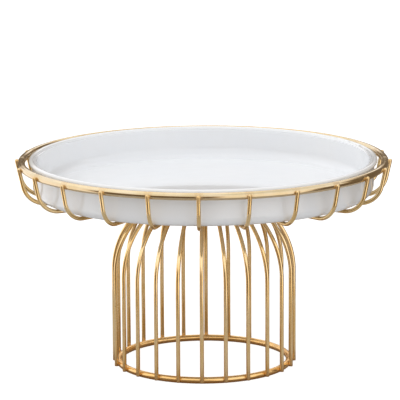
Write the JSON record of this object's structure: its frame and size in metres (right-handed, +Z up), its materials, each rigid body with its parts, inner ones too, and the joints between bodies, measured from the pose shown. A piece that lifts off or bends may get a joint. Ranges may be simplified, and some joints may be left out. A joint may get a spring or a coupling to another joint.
{
  "type": "pedestal cake stand",
  "caption": "Low pedestal cake stand: a loose round white tray in a welded gold wire basket on a bird-cage foot.",
  "frame": {"origin": "on the table, at the middle of the foot", "axes": "+Z up along the stand's axis, -Y towards the front, +X to the right"},
  "size_m": [0.2044, 0.2044, 0.1148],
  "materials": {
    "white_glaze": "glossy glaze",
    "gold_wire": "polished gold plating"
  },
  "bodies": {
    "frame": {"base_ring": "gold_wire", "hub_ring": "gold_wire", "rim_ring": "gold_wire", "dome_rib_01": "gold_wire", "dome_rib_02": "gold_wire", "dome_rib_03": "gold_wire", "dome_rib_04": "gold_wire", "dome_rib_05": "gold_wire", "dome_rib_06": "gold_wire", "dome_rib_07": "gold_wire", "dome_rib_08": "gold_wire", "dome_rib_09": "gold_wire", "dome_rib_10": "gold_wire", "dome_rib_11": "gold_wire", "dome_rib_12": "gold_wire", "dome_rib_13": "gold_wire", "dome_rib_14": "gold_wire", "dome_rib_15": "gold_wire", "dome_rib_16": "gold_wire", "dome_rib_17": "gold_wire", "dome_rib_18": "gold_wire", "dome_rib_19": "gold_wire", "dome_rib_20": "gold_wire", "dome_rib_21": "gold_wire", "dome_rib_22": "gold_wire", "dome_rib_23": "gold_wire", "dome_rib_24": "gold_wire", "basket_rib_01": "gold_wire", "basket_rib_02": "gold_wire", "basket_rib_03": "gold_wire", "basket_rib_04": "gold_wire", "basket_rib_05": "gold_wire", "basket_rib_06": "gold_wire", "basket_rib_07": "gold_wire", "basket_rib_08": "gold_wire", "basket_rib_09": "gold_wire", "basket_rib_10": "gold_wire", "basket_rib_11": "gold_wire", "basket_rib_12": "gold_wire", "basket_rib_13": "gold_wire", "basket_rib_14": "gold_wire", "basket_rib_15": "gold_wire", "basket_rib_16": "gold_wire", "basket_rib_17": "gold_wire", "basket_rib_18": "gold_wire", "basket_rib_19": "gold_wire", "basket_rib_20": "gold_wire", "basket_rib_21": "gold_wire", "basket_rib_22": "gold_wire", "basket_rib_23": "gold_wire", "basket_rib_24": "gold_wire"},
    "tray": {"tray": "white_glaze"}
  },
  "joints": [
    {"name": "tray_lift", "type": "slide", "parent": "frame", "child": "tray", "axis": [0, 0, 1], "range_m": [0, 0.06]}
  ]
}
